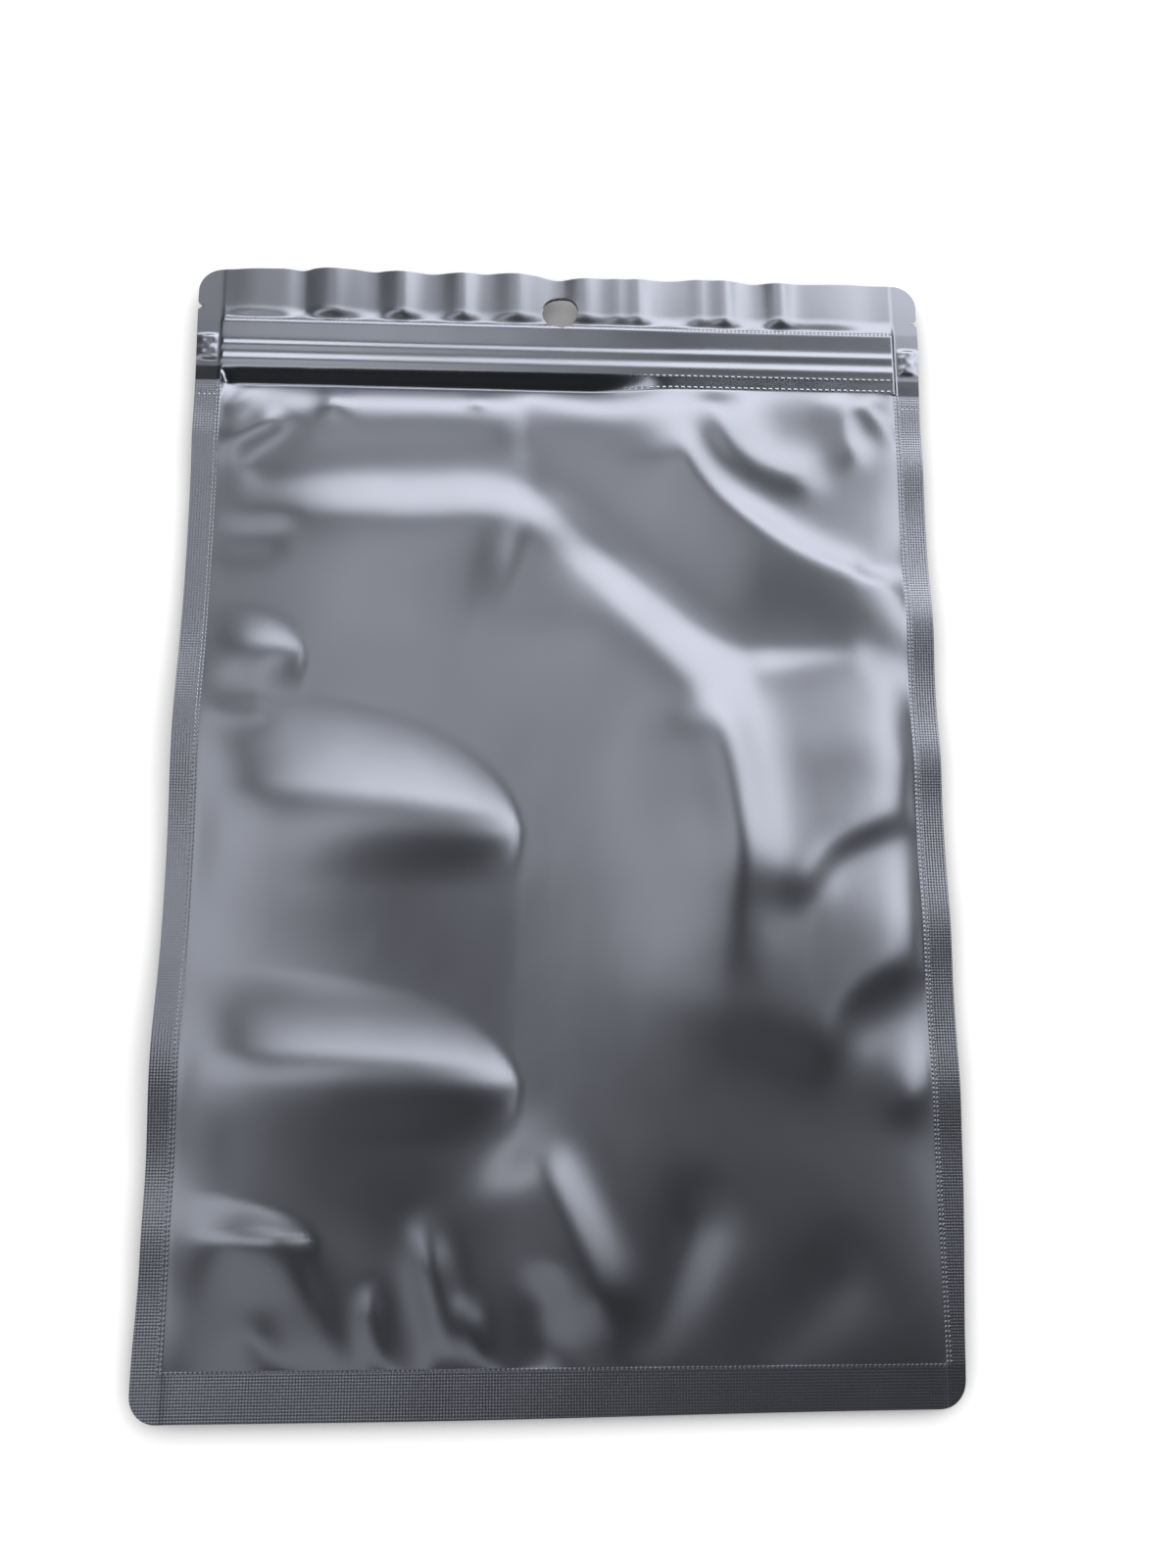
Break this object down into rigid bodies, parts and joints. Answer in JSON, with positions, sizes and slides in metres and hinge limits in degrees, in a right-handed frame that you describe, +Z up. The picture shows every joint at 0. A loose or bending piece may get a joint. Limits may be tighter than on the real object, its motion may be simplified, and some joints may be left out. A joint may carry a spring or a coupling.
{
  "type": "metallised zip pouch",
  "caption": "Flat metallised film pouch with welded sides and bottom, press-to-close zip and a hang hole, lying on its back.",
  "frame": {"origin": "on the surface it lies on, under the centre of the pouch's bounding box", "axes": "+X across the pouch, +Y along its length toward the mouth, +Z up through the front film"},
  "size_m": [0.161, 0.24, 0.0142],
  "materials": {
    "gunmetal_film": "satin metallised laminate film",
    "clear_zip_plastic": "milky polyethylene"
  },
  "bodies": {
    "root": {"pouch_envelope": "gunmetal_film", "zip_rib_strip": "clear_zip_plastic", "zip_groove_strip": "clear_zip_plastic"}
  },
  "joints": []
}
